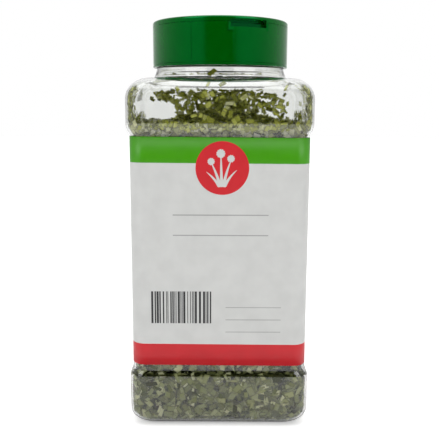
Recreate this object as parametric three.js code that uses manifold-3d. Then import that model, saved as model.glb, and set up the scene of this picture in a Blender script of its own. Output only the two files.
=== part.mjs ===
// A clear one-litre square jar of dried chopped chives, with a wrap-round label and a green
// screw cap that has two flaps: one over a sifting deck, one over an opening for a spoon.
// Millimetres, +Z up, origin in the middle of the face that the jar stands on.
import * as THREE from "three";
import { mergeVertices } from "three/addons/utils/BufferGeometryUtils.js";
import Module from "manifold-3d";

const wasm = await Module();
wasm.setup();

// Jar: half widths of its square outline, plan corner radii and heights
const SHOULDER_HALF = 43;
const BASE_HALF = 42.75;
const PANEL_HALF = 41.2;
const FOOT_HALF = 34.25;
const WALL = 0.8;
const OUTER_CORNER = 6.4;
const PANEL_CORNER = 4.6;
const FOOT_CORNER = 8;
const PUSH_UP_HALF = 29;
const PUSH_UP_RISE = 2.2;
const BASE_ROUND = 8.5;
const BASE_TOP = 28;
const PANEL_BOTTOM = 31;
const PANEL_TOP = 140.4;
const SHOULDER_BOTTOM = 147;
const SHOULDER_ROUND = 9.5;
const SHOULDER_TOP = 166.2;
const JAR_SEGMENTS = 48;

// Neck, and the short slanting ridges that the cap's lugs turn under
const NECK_FOOT_RADIUS = 33.75;
const NECK_RING_RADIUS = 31.3;
const NECK_RING_Z = 170.1;
const NECK_RADIUS = 30;
const RIM_Z = 186;
const RIDGES = 4;
const RIDGE_CREST = 31.3;
const RIDGE_WIDTH = 1.8;
const RIDGE_BOTTOM = 177.2;
const RIDGE_RISE = 2.4;
const RIDGE_START = THREE.MathUtils.degToRad(10);
const RIDGE_SWEEP = THREE.MathUtils.degToRad(55);

// Label
const LABEL_GAP = 0.05;
const LABEL_THICKNESS = 0.33;
const LABEL_BOTTOM = 31.4;
const LABEL_TOP = 139.5;
const LABEL_BACK_WINDOW = 14;

// Cap
const CAP_RADIUS = 33.43;
const CAP_BOTTOM = 171.9;
const CAP_TOP = 193.7;
const CAP_ROUND = 1.1;
const CAP_BORE = 31.85;
const LUG_CREST = 30.4;
const LUG_WIDTH = 1.6;
const LUG_SWEEP = THREE.MathUtils.degToRad(22);
const DECK_BOTTOM = 186.3;
const DECK_TOP = 187.8;
const WELL_RADIUS = 31.9;
const SKIRT_TOP = 191.1;
const PART_GAP = 0.3;
const BAR_HALF = 2.85;
const CAP_SEGMENTS = 72;
const FLAP_DIRECTION = THREE.MathUtils.degToRad(-90 + 25);

// Sifting deck, spoon opening, thumb notches and what is under the flaps
const SIFT_HOLE_RADIUS = 2.5;
const SIFT_ROWS = [
  { out: 9, across: [-16, -8, 0, 8, 16] },
  { out: 18, across: [-12, -4, 4, 12] },
];
const SPOON_RADIUS = 26;
const SPOON_INNER = 5.5;
const NOTCH_HALF_WIDTH = 8.35;
const NOTCH_BACK = 29.8;
const NOTCH_WALL = 1.1;
const NOTCH_FLOOR = 188.3;
const NOTCH_TOP = 192.4;
const PLUG_RADIUS = 28.2;
const PLUG_WALL = 0.9;
const PLUG_BOTTOM = 188.6;
const PEG_RADIUS = 2.7;

// Chives: the heap's height, its flakes and the room kept between it and the wall
const HEAP_LEVEL = 143.5;
const HEAP_RISE = 13;
const HEAP_MARGIN = 1.6;
const HEAP_SEGMENTS = 32;
const HEAP_FLAKES = 55;
const SIDE_FLAKES = 56;
const WINDOW_FLAKES = 6;
const FLAKE_LENGTH = 10.5;
const FLAKE_WIDTH = 7;
const FLAKE_THICKNESS = 0.9;
const CONTENTS_GAP = 0.35;

const clearPlastic = new THREE.MeshStandardMaterial({
  color: 0xdfe5e2,
  roughness: 0.06,
  metalness: 0,
  transparent: true,
  opacity: 0.3,
});
const labelFilm = new THREE.MeshStandardMaterial({ color: 0xdcdddb, roughness: 0.35, metalness: 0 });
const greenPlastic = new THREE.MeshStandardMaterial({ color: 0x0a5c22, roughness: 0.3, metalness: 0 });
const driedLeaf = new THREE.MeshStandardMaterial({ color: 0x757b57, roughness: 0.9, metalness: 0 });

// Repeatable random numbers from 0 to 1
function seededRandom(seed) {
  let state = seed >>> 0;
  return () => {
    state = (state + 0x6d2b79f5) >>> 0;
    let t = Math.imul(state ^ (state >>> 15), 1 | state);
    t = (t + Math.imul(t ^ (t >>> 7), 61 | t)) ^ t;
    return ((t ^ (t >>> 14)) >>> 0) / 4294967296;
  };
}

function solidFrom(geometry) {
  const bare = geometry.index ? geometry.clone() : mergeVertices(geometry.clone());
  bare.deleteAttribute("normal");
  bare.deleteAttribute("uv");
  const merged = mergeVertices(bare, 1e-4);
  const solid = new wasm.Manifold(
    new wasm.Mesh({
      numProp: 3,
      vertProperties: merged.attributes.position.array,
      triVerts: new Uint32Array(merged.index.array),
    }),
  );
  if (solid.volume() < 0) throw new Error("a profile runs the wrong way round");
  return solid;
}

function geometryFrom(solid) {
  const mesh = solid.getMesh();
  const geometry = new THREE.BufferGeometry()
    .setAttribute("position", new THREE.BufferAttribute(mesh.vertProperties, 3))
    .setIndex(new THREE.BufferAttribute(mesh.triVerts, 1));
  geometry.computeVertexNormals();
  return geometry;
}

function named(name, geometry, material) {
  const mesh = new THREE.Mesh(geometry, material);
  mesh.name = name;
  return mesh;
}

// Turns a profile of [radius, z] points about Z
function turned(points, segments = CAP_SEGMENTS) {
  const profile = points.map(([radius, z]) => new THREE.Vector2(radius, z));
  return new THREE.LatheGeometry(profile, segments).rotateX(Math.PI / 2);
}

function box(sizeX, sizeY, bottom, top, x = 0, y = 0) {
  return new THREE.BoxGeometry(sizeX, sizeY, top - bottom).translate(x, y, (bottom + top) / 2);
}

function disc(radius, bottom, top, x = 0, y = 0, segments = 20) {
  return new THREE.CylinderGeometry(radius, radius, top - bottom, segments)
    .rotateX(Math.PI / 2)
    .translate(x, y, (bottom + top) / 2);
}

// A lathe whose circles are drawn out to squares with round corners. Each station gives the
// outline's half width, its corner radius and its height, and the first and last are on the axis.
function squaredLathe(stations, segments = JAR_SEGMENTS) {
  const halfStep = Math.PI / segments;
  const profile = stations.map((s) => new THREE.Vector2(s.half, s.z));
  const lathe = new THREE.LatheGeometry(profile, segments, halfStep).rotateX(Math.PI / 2);
  const place = lathe.getAttribute("position");
  for (let i = 0; i < place.count; i++) {
    const { half, corner } = stations[i % stations.length];
    if (half === 0) continue;
    const angle = Math.atan2(place.getY(i), place.getX(i));
    const straight = half - corner;
    place.setX(i, Math.sign(Math.cos(angle)) * straight + corner * Math.cos(angle));
    place.setY(i, Math.sign(Math.sin(angle)) * straight + corner * Math.sin(angle));
  }
  return lathe;
}

// Stations along a quarter round whose centre is at (half, z), from one angle to another
function quarterRound(half, z, radius, from, to, steps, cornerFrom, cornerTo) {
  const stations = [];
  for (let i = 0; i <= steps; i++) {
    const share = i / steps;
    const angle = THREE.MathUtils.degToRad(from + (to - from) * share);
    stations.push({
      half: half + radius * Math.cos(angle),
      corner: cornerFrom + (cornerTo - cornerFrom) * share,
      z: z + radius * Math.sin(angle),
    });
  }
  return stations;
}

// The jar's outside from the middle of its base up to the shoulder
function bodyStations() {
  return [
    { half: 0, corner: 0, z: PUSH_UP_RISE + 0.4 },
    { half: PUSH_UP_HALF - 5, corner: FOOT_CORNER, z: PUSH_UP_RISE },
    { half: PUSH_UP_HALF, corner: FOOT_CORNER, z: 0 },
    ...quarterRound(FOOT_HALF, BASE_ROUND, BASE_ROUND, -90, 0, 5, FOOT_CORNER, OUTER_CORNER),
    { half: BASE_HALF, corner: OUTER_CORNER, z: BASE_TOP },
    { half: PANEL_HALF + 0.5, corner: PANEL_CORNER + 0.5, z: PANEL_BOTTOM - 0.7 },
    { half: PANEL_HALF, corner: PANEL_CORNER, z: PANEL_BOTTOM },
    { half: PANEL_HALF, corner: PANEL_CORNER, z: PANEL_TOP },
    { half: PANEL_HALF + 0.3, corner: PANEL_CORNER + 0.3, z: PANEL_TOP + 0.6 },
    { half: SHOULDER_HALF - 0.6, corner: OUTER_CORNER - 0.5, z: PANEL_TOP + 2.8 },
    { half: SHOULDER_HALF - 0.15, corner: OUTER_CORNER - 0.1, z: PANEL_TOP + 4.6 },
    { half: SHOULDER_HALF, corner: OUTER_CORNER, z: SHOULDER_BOTTOM },
    ...quarterRound(
      SHOULDER_HALF - SHOULDER_ROUND,
      SHOULDER_TOP - SHOULDER_ROUND,
      SHOULDER_ROUND,
      0,
      90,
      6,
      OUTER_CORNER,
      FOOT_CORNER + 2,
    ),
  ];
}

function circle(radius, z) {
  return { half: radius, corner: radius, z };
}

function neckStations() {
  return [
    circle(NECK_FOOT_RADIUS - 0.4, SHOULDER_TOP + 0.3),
    circle(NECK_FOOT_RADIUS - 1.5, SHOULDER_TOP + 2.6),
    circle(NECK_RING_RADIUS, NECK_RING_Z - 0.4),
    circle(NECK_RING_RADIUS, NECK_RING_Z + 1.2),
    circle(NECK_RADIUS, NECK_RING_Z + 2.2),
    circle(NECK_RADIUS, RIM_Z),
  ];
}

// The same stations moved inwards by a wall's thickness, square to the profile
function insetStations(stations, wall) {
  return stations.map((s, i) => {
    if (s.half === 0) return { ...s, z: s.z + wall };
    const before = stations[Math.max(i - 1, 0)];
    const after = stations[Math.min(i + 1, stations.length - 1)];
    const run = after.half - before.half;
    const rise = after.z - before.z;
    const length = Math.hypot(run, rise);
    const moved = (wall * rise) / length;
    return {
      half: s.half - moved,
      corner: Math.max(s.corner - moved, 1),
      z: s.z + (wall * run) / length,
    };
  });
}

// A bar of [radius, z] section bent round the axis, which climbs by the rise over its sweep
function bentBar(section, start, sweep, rise) {
  const shape = new THREE.Shape(section.map(([radius, z]) => new THREE.Vector2(radius, z)));
  const steps = Math.ceil(sweep / THREE.MathUtils.degToRad(8));
  const bar = new THREE.ExtrudeGeometry(shape, { depth: 1, steps, bevelEnabled: false });
  const place = bar.getAttribute("position");
  for (let i = 0; i < place.count; i++) {
    const radius = place.getX(i);
    const share = 1 - place.getZ(i);
    const angle = start + sweep * share;
    place.setXYZ(i, radius * Math.cos(angle), radius * Math.sin(angle), place.getY(i) + rise * share);
  }
  return bar;
}

function jar() {
  const outside = [...bodyStations(), ...neckStations()];
  const inside = insetStations(outside, WALL).reverse();
  let shell = solidFrom(squaredLathe([...outside, ...inside]));
  const root = NECK_RADIUS - 0.3;
  const slope = RIDGE_WIDTH / 4;
  const section = [
    [root, RIDGE_BOTTOM],
    [RIDGE_CREST, RIDGE_BOTTOM + slope],
    [RIDGE_CREST, RIDGE_BOTTOM + RIDGE_WIDTH - slope],
    [root, RIDGE_BOTTOM + RIDGE_WIDTH],
  ];
  for (let i = 0; i < RIDGES; i++) {
    const start = RIDGE_START + (i * 2 * Math.PI) / RIDGES;
    shell = shell.add(solidFrom(bentBar(section, start, RIDGE_SWEEP, RIDGE_RISE)));
  }
  return named("jar", geometryFrom(shell), clearPlastic);
}

// The label's sleeve, with the window at the back where its two ends stop short of each other
function label() {
  const inner = PANEL_HALF + LABEL_GAP;
  const outer = inner + LABEL_THICKNESS;
  const grown = outer - PANEL_HALF;
  const sleeve = (half, corner, bottom, top) => [
    { half: 0, corner: 0, z: bottom },
    { half, corner, z: bottom },
    { half, corner, z: top },
    { half: 0, corner: 0, z: top },
  ];
  const filled = solidFrom(squaredLathe(sleeve(outer, PANEL_CORNER + grown, LABEL_BOTTOM, LABEL_TOP)));
  const core = solidFrom(
    squaredLathe(sleeve(inner, PANEL_CORNER + LABEL_GAP, LABEL_BOTTOM - 1, LABEL_TOP + 1)),
  );
  const window = solidFrom(box(LABEL_BACK_WINDOW, 10, LABEL_BOTTOM - 1, LABEL_TOP + 1, 0, PANEL_HALF));
  return named("label", geometryFrom(filled.subtract(core).subtract(window)), labelFilm);
}

// The heap stands highest behind its middle, as it settled when the jar was put down
function heapHeight(x, y) {
  const behind = THREE.MathUtils.smoothstep(y, -8, 34);
  const middle = Math.exp(-((x - 2) ** 2) / (2 * 17 ** 2));
  const lumps = Math.sin(x / 7 + 1.3) * Math.cos(y / 8 - 0.4);
  return HEAP_LEVEL + HEAP_RISE * behind * middle + 0.9 * lumps;
}

function heapCore() {
  const sides = insetStations(bodyStations(), WALL + HEAP_MARGIN);
  const column = sides.filter((s) => s.z < PANEL_TOP);
  const top = [38, 31, 24, 16, 8].map((half) => ({ half, corner: half * 0.6, z: HEAP_LEVEL }));
  const stations = [...column, ...top, { half: 0, corner: 0, z: HEAP_LEVEL }];
  const geometry = squaredLathe(stations, HEAP_SEGMENTS);
  const place = geometry.getAttribute("position");
  for (let i = 0; i < place.count; i++) {
    if (place.getZ(i) === Math.fround(HEAP_LEVEL)) {
      place.setZ(i, heapHeight(place.getX(i), place.getY(i)));
    }
  }
  return solidFrom(geometry);
}

// One flat chopped piece, tilted and turned by random amounts on the surface that faces outward
function flake(random, position, outward, tilt) {
  const stretch = 0.75 + 0.5 * random();
  const piece = new THREE.BoxGeometry(FLAKE_LENGTH * stretch, FLAKE_WIDTH * stretch, FLAKE_THICKNESS);
  piece.rotateZ(random() * Math.PI);
  piece.rotateX((random() - 0.5) * tilt);
  piece.rotateY((random() - 0.5) * tilt);
  const face = new THREE.Quaternion().setFromUnitVectors(new THREE.Vector3(0, 0, 1), outward);
  piece.applyQuaternion(face);
  piece.translate(position.x, position.y, position.z);
  return solidFrom(piece);
}

function sideFlakes(random) {
  const out = BASE_HALF - WALL - HEAP_MARGIN + 0.35;
  const flakes = [];
  for (let i = 0; i < SIDE_FLAKES; i++) {
    const side = i % 4;
    const along = (random() * 2 - 1) * (BASE_HALF - 10);
    const z = 9 + random() * (BASE_TOP - 10);
    const outward = new THREE.Vector3(0, -1, 0).applyAxisAngle(new THREE.Vector3(0, 0, 1), (side * Math.PI) / 2);
    const across = new THREE.Vector3(-outward.y, outward.x, 0);
    const place = outward.clone().multiplyScalar(out).addScaledVector(across, along).setZ(z);
    flakes.push(flake(random, place, outward, 0.2));
  }
  return flakes;
}

function windowFlakes(random) {
  const out = PANEL_HALF - WALL - HEAP_MARGIN + 0.35;
  const outward = new THREE.Vector3(0, 1, 0);
  const flakes = [];
  for (let i = 0; i < WINDOW_FLAKES; i++) {
    const z = LABEL_BOTTOM + ((i + 0.5) / WINDOW_FLAKES) * (LABEL_TOP - LABEL_BOTTOM);
    const x = (random() - 0.5) * LABEL_BACK_WINDOW;
    flakes.push(flake(random, new THREE.Vector3(x, out, z), outward, 0.25));
  }
  return flakes;
}

function heapFlakes(random) {
  const flakes = [];
  for (let i = 0; i < HEAP_FLAKES; i++) {
    const x = (random() * 2 - 1) * (SHOULDER_HALF - 8);
    const y = (random() * 2 - 1) * (SHOULDER_HALF - 8);
    const place = new THREE.Vector3(x, y, heapHeight(x, y) + 0.3);
    const slopeX = (heapHeight(x + 1, y) - heapHeight(x - 1, y)) / 2;
    const slopeY = (heapHeight(x, y + 1) - heapHeight(x, y - 1)) / 2;
    const outward = new THREE.Vector3(-slopeX, -slopeY, 1).normalize();
    flakes.push(flake(random, place, outward, 1.1));
  }
  return flakes;
}

function driedChives() {
  const random = seededRandom(35);
  const flakes = [...sideFlakes(random), ...windowFlakes(random), ...heapFlakes(random)];
  const heap = wasm.Manifold.union([heapCore(), ...flakes]);
  const walls = insetStations(bodyStations(), WALL + CONTENTS_GAP);
  const room = solidFrom(squaredLathe([...walls, { half: 0, corner: 0, z: walls.at(-1).z }]));
  const largest = heap
    .intersect(room)
    .decompose()
    .sort((a, b) => b.volume() - a.volume())[0];
  return named("dried_chives", geometryFrom(largest), driedLeaf);
}

// The whole cap's outer form, which its flaps and its bar are cut from. Out is +X here.
function capForm() {
  const round = [];
  for (let i = 0; i <= 3; i++) {
    const angle = (Math.PI / 2) * (i / 3);
    round.push([
      CAP_RADIUS - CAP_ROUND + CAP_ROUND * Math.cos(angle),
      CAP_TOP - CAP_ROUND + CAP_ROUND * Math.sin(angle),
    ]);
  }
  return solidFrom(turned([[0, DECK_BOTTOM + 0.5], [CAP_RADIUS, DECK_BOTTOM + 0.5], ...round, [0, CAP_TOP]]));
}

// The pocket's walls behind each thumb notch, which end inside the skirt
function notchWall(direction) {
  const back = NOTCH_BACK - NOTCH_WALL;
  const front = CAP_RADIUS - 1;
  const width = 2 * (NOTCH_HALF_WIDTH + NOTCH_WALL);
  return solidFrom(box(front - back, width, DECK_TOP - 0.5, SKIRT_TOP, (direction * (back + front)) / 2));
}

function notchHollow(direction) {
  const front = CAP_RADIUS + 2;
  const middle = (direction * (NOTCH_BACK + front)) / 2;
  return solidFrom(box(front - NOTCH_BACK, 2 * NOTCH_HALF_WIDTH, NOTCH_FLOOR, NOTCH_TOP, middle));
}

function capBody() {
  const skirt = solidFrom(
    turned([
      [0, DECK_BOTTOM],
      [CAP_BORE, DECK_BOTTOM],
      [CAP_BORE, CAP_BOTTOM],
      [CAP_RADIUS - 0.6, CAP_BOTTOM],
      [CAP_RADIUS - 0.2, CAP_BOTTOM + 0.5],
      [CAP_RADIUS - 0.2, CAP_BOTTOM + 1.1],
      [CAP_RADIUS, CAP_BOTTOM + 1.5],
      [CAP_RADIUS, SKIRT_TOP],
      [WELL_RADIUS, SKIRT_TOP],
      [WELL_RADIUS, DECK_TOP],
      [0, DECK_TOP],
    ]),
  );
  const bar = solidFrom(box(2 * BAR_HALF, 3 * CAP_RADIUS, DECK_TOP - 0.5, CAP_TOP + 1)).intersect(capForm());
  let body = skirt.add(bar);
  for (const direction of [1, -1]) {
    body = body.add(notchWall(direction)).subtract(notchHollow(direction));
  }
  const root = CAP_BORE + 0.3;
  const slope = LUG_WIDTH / 4;
  const lugTop = RIDGE_BOTTOM - PART_GAP;
  const section = [
    [LUG_CREST, lugTop - LUG_WIDTH + slope],
    [root, lugTop - LUG_WIDTH],
    [root, lugTop],
    [LUG_CREST, lugTop - slope],
  ];
  for (let i = 0; i < RIDGES; i++) {
    const start = RIDGE_START - FLAP_DIRECTION + (i * 2 * Math.PI) / RIDGES;
    body = body.add(solidFrom(bentBar(section, start, LUG_SWEEP, 0)));
  }
  for (const { out, across } of SIFT_ROWS) {
    for (const side of across) {
      const hole = disc(SIFT_HOLE_RADIUS, DECK_BOTTOM - 1, DECK_TOP + 1, out, side);
      body = body.subtract(solidFrom(hole));
    }
  }
  const spoonDisc = solidFrom(disc(SPOON_RADIUS, DECK_BOTTOM - 1, DECK_TOP + 1, 0, 0, CAP_SEGMENTS));
  const spoonSide = solidFrom(box(40, 80, DECK_BOTTOM - 2, DECK_TOP + 2, -SPOON_INNER - 20));
  return named("cap_body", geometryFrom(body.subtract(spoonDisc.intersect(spoonSide))), greenPlastic);
}

// A half-moon flap with a plug ring beneath it and a thin lip over its thumb notch
function flapSolid(direction) {
  const bottom = SKIRT_TOP + PART_GAP;
  const inner = BAR_HALF + PART_GAP;
  const plate = solidFrom(box(50, 80, bottom, CAP_TOP + 1, direction * (inner + 25))).intersect(capForm());
  const plugSide = solidFrom(box(50, 80, PLUG_BOTTOM, bottom + 0.5, direction * (inner + 1.5 + 25)));
  const plugRing = solidFrom(
    turned([
      [PLUG_RADIUS - PLUG_WALL, PLUG_BOTTOM],
      [PLUG_RADIUS, PLUG_BOTTOM],
      [PLUG_RADIUS, bottom + 0.5],
      [PLUG_RADIUS - PLUG_WALL, bottom + 0.5],
      [PLUG_RADIUS - PLUG_WALL, PLUG_BOTTOM],
    ]),
  ).intersect(plugSide);
  return plate.add(plugRing).subtract(notchHollow(direction));
}

function siftFlap() {
  let flap = flapSolid(1);
  for (const { out, across } of SIFT_ROWS) {
    for (const side of across) {
      flap = flap.add(solidFrom(disc(PEG_RADIUS, DECK_TOP + PART_GAP, SKIRT_TOP + 0.5, out, side, 12)));
    }
  }
  return named("sift_flap", geometryFrom(flap), greenPlastic);
}

function spoonFlap() {
  return named("spoon_flap", geometryFrom(flapSolid(-1)), greenPlastic);
}

const spiceJar = new THREE.Group();
spiceJar.add(jar(), label(), driedChives());

const cap = new THREE.Group();
cap.rotation.z = FLAP_DIRECTION;
cap.add(capBody(), siftFlap(), spoonFlap());
spiceJar.add(cap);

export default spiceJar;
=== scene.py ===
# %% [markdown]
# # A jar of dried chives
# The object is a clear square jar, about 194 mm tall, full of chopped dried chives. A printed film is
# wrapped round its waist, and a glossy green cap with two small lids closes it. The sizes come from a
# frame that is loaded first: it holds one plain solid for each part of the jar, at its real size and
# place. This file gives each part its fine shape and its finish, and leaves every part where it is.

# %% Load the frame
import math
import random

import bmesh
import bpy
from mathutils import Matrix, Vector
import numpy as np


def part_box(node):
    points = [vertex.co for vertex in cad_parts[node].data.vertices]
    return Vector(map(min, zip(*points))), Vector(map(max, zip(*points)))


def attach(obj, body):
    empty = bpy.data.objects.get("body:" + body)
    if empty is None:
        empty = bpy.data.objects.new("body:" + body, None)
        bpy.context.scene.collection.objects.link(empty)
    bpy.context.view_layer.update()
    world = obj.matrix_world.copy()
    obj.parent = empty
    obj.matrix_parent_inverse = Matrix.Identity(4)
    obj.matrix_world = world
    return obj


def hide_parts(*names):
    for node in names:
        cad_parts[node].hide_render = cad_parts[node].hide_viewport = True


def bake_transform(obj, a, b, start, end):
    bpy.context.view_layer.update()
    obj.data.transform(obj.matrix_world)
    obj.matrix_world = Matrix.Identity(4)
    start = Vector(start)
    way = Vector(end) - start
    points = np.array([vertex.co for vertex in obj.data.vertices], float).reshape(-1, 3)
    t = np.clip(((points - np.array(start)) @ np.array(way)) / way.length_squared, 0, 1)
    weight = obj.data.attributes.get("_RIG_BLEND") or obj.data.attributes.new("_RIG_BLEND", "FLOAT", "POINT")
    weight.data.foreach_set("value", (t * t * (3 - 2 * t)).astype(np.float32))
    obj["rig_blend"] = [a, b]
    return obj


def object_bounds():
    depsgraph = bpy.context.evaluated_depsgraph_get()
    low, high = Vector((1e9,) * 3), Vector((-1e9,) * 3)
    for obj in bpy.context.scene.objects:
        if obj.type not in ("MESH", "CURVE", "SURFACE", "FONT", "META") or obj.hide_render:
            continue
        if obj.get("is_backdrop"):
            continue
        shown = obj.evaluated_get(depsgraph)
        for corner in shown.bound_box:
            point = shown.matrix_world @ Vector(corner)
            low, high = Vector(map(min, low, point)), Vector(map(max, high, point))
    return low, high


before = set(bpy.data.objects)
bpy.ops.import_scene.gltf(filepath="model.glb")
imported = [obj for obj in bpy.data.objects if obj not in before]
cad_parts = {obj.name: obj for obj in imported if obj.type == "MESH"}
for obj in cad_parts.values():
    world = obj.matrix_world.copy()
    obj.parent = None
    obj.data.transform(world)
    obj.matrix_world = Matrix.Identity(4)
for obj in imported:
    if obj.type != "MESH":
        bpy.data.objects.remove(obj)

cad_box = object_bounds()
MM = 0.001
print("parts in the frame:", sorted(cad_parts))

# %% [markdown]
# ## Sizes that several parts share
# The outer sizes are read from the frame's solids, so the fine parts can't drift from them. The rest are
# the wall's thickness and the levels where the jar's form changes, in millimetres above the table.

# %% Shared sizes
jar_low, jar_high = (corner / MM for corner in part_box("jar"))
label_low, label_high = (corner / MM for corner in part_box("label"))
cap_low, cap_high = (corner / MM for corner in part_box("cap_body"))

WALL = 0.8
SHOULDER_HALF = jar_high.x
BASE_HALF = 42.75
PANEL_HALF = 41.2
OUTER_CORNER = 6.4
PANEL_CORNER = 6.2
FOOT_CORNER = 8.0
BASE_ROUND = 8.5
BASE_TOP = 28.0
PANEL_BOTTOM = 31.0
PANEL_TOP = 140.4
SHOULDER_BOTTOM = 147.0
SHOULDER_ROUND = 9.5
SHOULDER_TOP = 166.2
RIM = jar_high.z
print(f"jar {jar_high.x - jar_low.x:.1f} mm wide, rim at {RIM:.1f} mm, cap top at {cap_high.z:.1f} mm")

# %% [markdown]
# ## From a bmesh to a finished piece
# Every piece ends in the same few steps: its mesh becomes an object, gets its materials, is shaded smooth
# except at real edges, and is told which moving body carries it.

# %% Making an object
def piece(name, bm, body, slot, *materials, crease=35):
    """Turns a bmesh into an object that rides on a body, with sharp edges above an angle in degrees"""
    mesh = bpy.data.meshes.new(name)
    bm.to_mesh(mesh)
    bm.free()
    for material in materials:
        mesh.materials.append(material)
    mesh.shade_smooth()
    mesh.set_sharp_from_angle(angle=math.radians(crease))
    obj = bpy.data.objects.new(name, mesh)
    bpy.context.scene.collection.objects.link(obj)
    if body:
        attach(obj, body)
    print(f"{name}: {len(mesh.polygons)} faces")
    return obj

# %% [markdown]
# ## Materials
# Each finish is a small node graph that starts from Blender's Principled shader. A helper makes the graph
# and hands back the shader. All patterns read Object coordinates, so they stay put on the part.

# %% Node helpers
def new_material(name, **settings):
    material = bpy.data.materials.new(name)
    material.use_nodes = True
    shader = material.node_tree.nodes["Principled BSDF"]
    for socket, value in settings.items():
        shader.inputs[socket.replace("_", " ")].default_value = value
    print("material:", name)
    return material, shader


def node(material, kind, **settings):
    made = material.node_tree.nodes.new(kind)
    for key, value in settings.items():
        if key in made.inputs:
            made.inputs[key].default_value = value
        else:
            setattr(made, key, value)
    return made


def link(material, source, target):
    material.node_tree.links.new(source, target)


def object_noise(material, scale, detail=2.0):
    place = node(material, "ShaderNodeTexCoord")
    pattern = node(material, "ShaderNodeTexNoise", Scale=scale, Detail=detail)
    link(material, place.outputs["Object"], pattern.inputs["Vector"])
    return pattern


# %% [markdown]
# Moulded plastic, film and leaf are never perfectly even, so a pattern also drives a faint bump, the
# roughness and the colour. Nearly all the values of a noise texture lie in the middle of its range, so only
# that span is spread over a roughness.

# %% Helpers for uneven finishes
NOISE_SPAN = (0.3, 0.7)


def add_bump(material, shader, pattern, strength, distance):
    bump = node(material, "ShaderNodeBump", Strength=strength, Distance=distance)
    link(material, pattern.outputs[0], bump.inputs["Height"])
    link(material, bump.outputs["Normal"], shader.inputs["Normal"])


def set_range(spread, *span):
    for socket, value in zip(("From Min", "From Max", "To Min", "To Max"), span):
        spread.inputs[socket].default_value = value


def vary_roughness(material, shader, pattern, low, high):
    spread = node(material, "ShaderNodeMapRange")
    set_range(spread, *NOISE_SPAN, low, high)
    link(material, pattern.outputs[0], spread.inputs["Value"])
    link(material, spread.outputs["Result"], shader.inputs["Roughness"])


def vary_colour(material, shader, pattern, stops):
    ramp = node(material, "ShaderNodeValToRGB")
    while len(ramp.color_ramp.elements) < len(stops):
        ramp.color_ramp.elements.new(0.5)
    for element, (place, colour) in zip(ramp.color_ramp.elements, stops):
        element.position = place
        element.color = (*colour, 1)
    link(material, pattern, ramp.inputs["Fac"])
    link(material, ramp.outputs["Color"], shader.inputs["Base Color"])
    return ramp

# %% [markdown]
# The jar is blown from clear polyester. It is a real wall 0.8 mm thick, so plain transmission bends the
# light at both of its faces as the real wall does. A slow wave in the bump stands for the slight
# unevenness of blown walls.

# %% Clear plastic
clear_plastic, shader = new_material(
    "clear_plastic", Base_Color=(0.945, 0.955, 0.94, 1), Transmission_Weight=1.0, IOR=1.57, Roughness=0.03
)
wave = object_noise(clear_plastic, 55)
add_bump(clear_plastic, shader, wave, 0.12, 0.0004)
vary_roughness(clear_plastic, shader, object_noise(clear_plastic, 160), 0.02, 0.06)

# %% [markdown]
# The cap is glossy polypropylene, coloured all through. Its green is deep and strong, so most of what
# brightens it is the reflection of the room. Real gloss on plastic has no tint, but a green one here gives
# the cap the deep, even green that it has in a bright studio.

# %% Green plastic
green_plastic, shader = new_material(
    "green_plastic", IOR=1.5, Specular_IOR_Level=0.85, Specular_Tint=(0.02, 1, 0.32, 1)
)
mottle = object_noise(green_plastic, 90, 3)
vary_colour(
    green_plastic, shader, mottle.outputs[0], [(0.3, (0.0001, 0.076, 0.0008)), (0.7, (0.0003, 0.084, 0.0016))]
)
vary_roughness(green_plastic, shader, object_noise(green_plastic, 300), 0.13, 0.2)
add_bump(green_plastic, shader, object_noise(green_plastic, 700), 0.05, 0.0001)

# %% [markdown]
# The label is a satin film. White film and each ink share one recipe: a colour that drifts by a hair, a
# soft sheen and a fine tooth.

# %% Label film and inks
FILM_ROUGHNESS = (0.32, 0.4)


def ink(name, colour):
    material, shader = new_material(name, IOR=1.45)
    drift = object_noise(material, 120)
    light = tuple(min(1, part * 1.03) for part in colour)
    dark = tuple(part * 0.97 for part in colour)
    vary_colour(material, shader, drift.outputs[0], [(0.35, dark), (0.65, light)])
    vary_roughness(material, shader, object_noise(material, 400), *FILM_ROUGHNESS)
    add_bump(material, shader, object_noise(material, 1500), 0.04, 0.0001)
    return material


white_film = ink("white_film", (0.63, 0.635, 0.62))
green_ink = ink("green_ink", (0.056, 0.315, 0.002))
red_ink = ink("red_ink", (0.61, 0.012, 0.02))
black_ink = ink("black_ink", (0.03, 0.03, 0.032))
grey_ink = ink("grey_ink", (0.33, 0.335, 0.33))

# %% [markdown]
# Dried chives range from sage green through olive to a few pale straw flakes. The shader reads a random
# number for each loose flake and looks it up in a ramp of those greens, so that neighbours seldom match.
# Fine veins run along every flake, because its own UV map follows the leaf. The same map darkens the flake
# towards its cut edges, which is painted shade: the thin dark line that shade draws where flakes overlap.

# %% Dried leaf
MIX_A, MIX_B, MIX_RESULT = 6, 7, 2
VEIN_STRENGTH = 0.2
MAP_MIDDLE = 0.5
# Painted shade at each flake's edges: where it starts and ends on the leaf map, and its colour.
EDGE_SHADE_SPAN = (0.37, 0.5, 0.0, 0.6)
EDGE_SHADE_COLOUR = (0.035, 0.04, 0.012, 1)


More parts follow.
